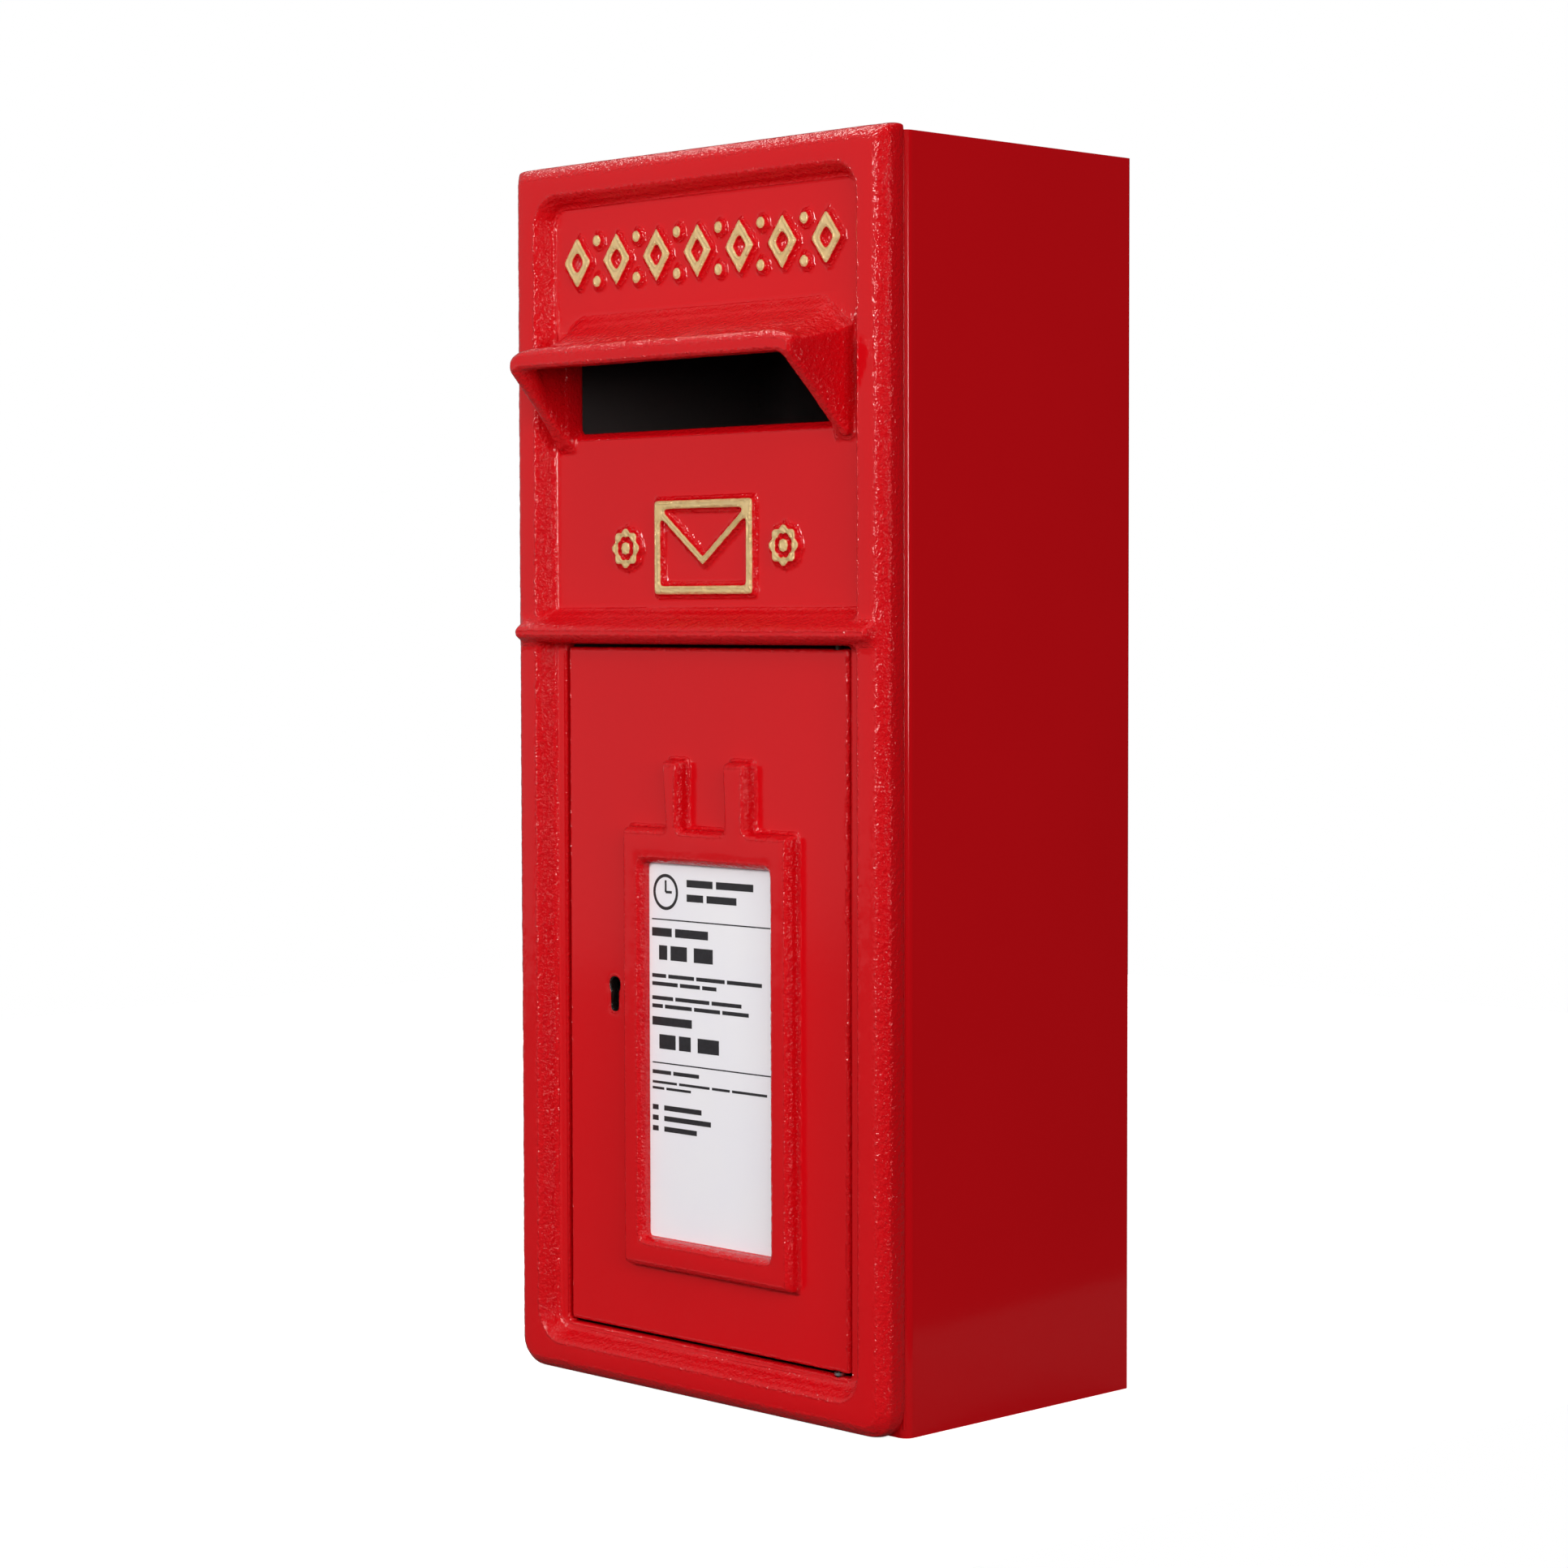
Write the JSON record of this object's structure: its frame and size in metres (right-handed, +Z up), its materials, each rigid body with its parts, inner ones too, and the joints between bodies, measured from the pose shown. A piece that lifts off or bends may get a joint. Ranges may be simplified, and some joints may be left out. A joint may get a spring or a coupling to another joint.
{
  "type": "wall-mounted post box",
  "caption": "Wall-mounted metal post box: cast front with a hooded letter slot and a locking hinged door, on a folded sheet-steel box.",
  "frame": {"origin": "under the middle of the whole box's width and depth, on the level of its base", "axes": "+Z up, -Y out of the front, +Y towards the wall, +X to the right seen from the front"},
  "size_m": [0.25, 0.1958, 0.58],
  "materials": {
    "enamelled_casting": "gloss enamel over a sand-cast surface",
    "enamelled_sheet": "smooth gloss enamel",
    "zinc_plated_steel": "bright zinc plate",
    "pressed_lock_steel": "satin",
    "brass": "satin",
    "spring_steel": "polished",
    "printed_plate": "white, printed, satin"
  },
  "bodies": {
    "box": {"front_casting": "enamelled_casting", "body_wrap": "enamelled_sheet", "top_plate": "enamelled_sheet", "base_plate": "enamelled_sheet", "casting_screws": "zinc_plated_steel", "casting_washers": "zinc_plated_steel", "hinge_pin_bottom": "zinc_plated_steel", "hinge_washer": "brass"},
    "door": {"door": "enamelled_casting", "notice_card": "printed_plate", "hinge_pin_top": "zinc_plated_steel", "lock_case": "pressed_lock_steel", "lock_cover": "pressed_lock_steel", "lock_screws": "zinc_plated_steel", "bolt_guide_pin": "zinc_plated_steel"},
    "bolt": {"lock_bolt": "brass", "bolt_spring": "spring_steel"}
  },
  "joints": [
    {"name": "door_hinge", "type": "hinge", "parent": "box", "child": "door", "pos_m": [0.0863, -0.05725, 0.18], "axis": [0, 0, 1], "range_deg": [0, 110]},
    {"name": "bolt_slide", "type": "slide", "parent": "door", "child": "bolt", "axis": [-1, 0, 0], "range_m": [0, 0.009]}
  ]
}
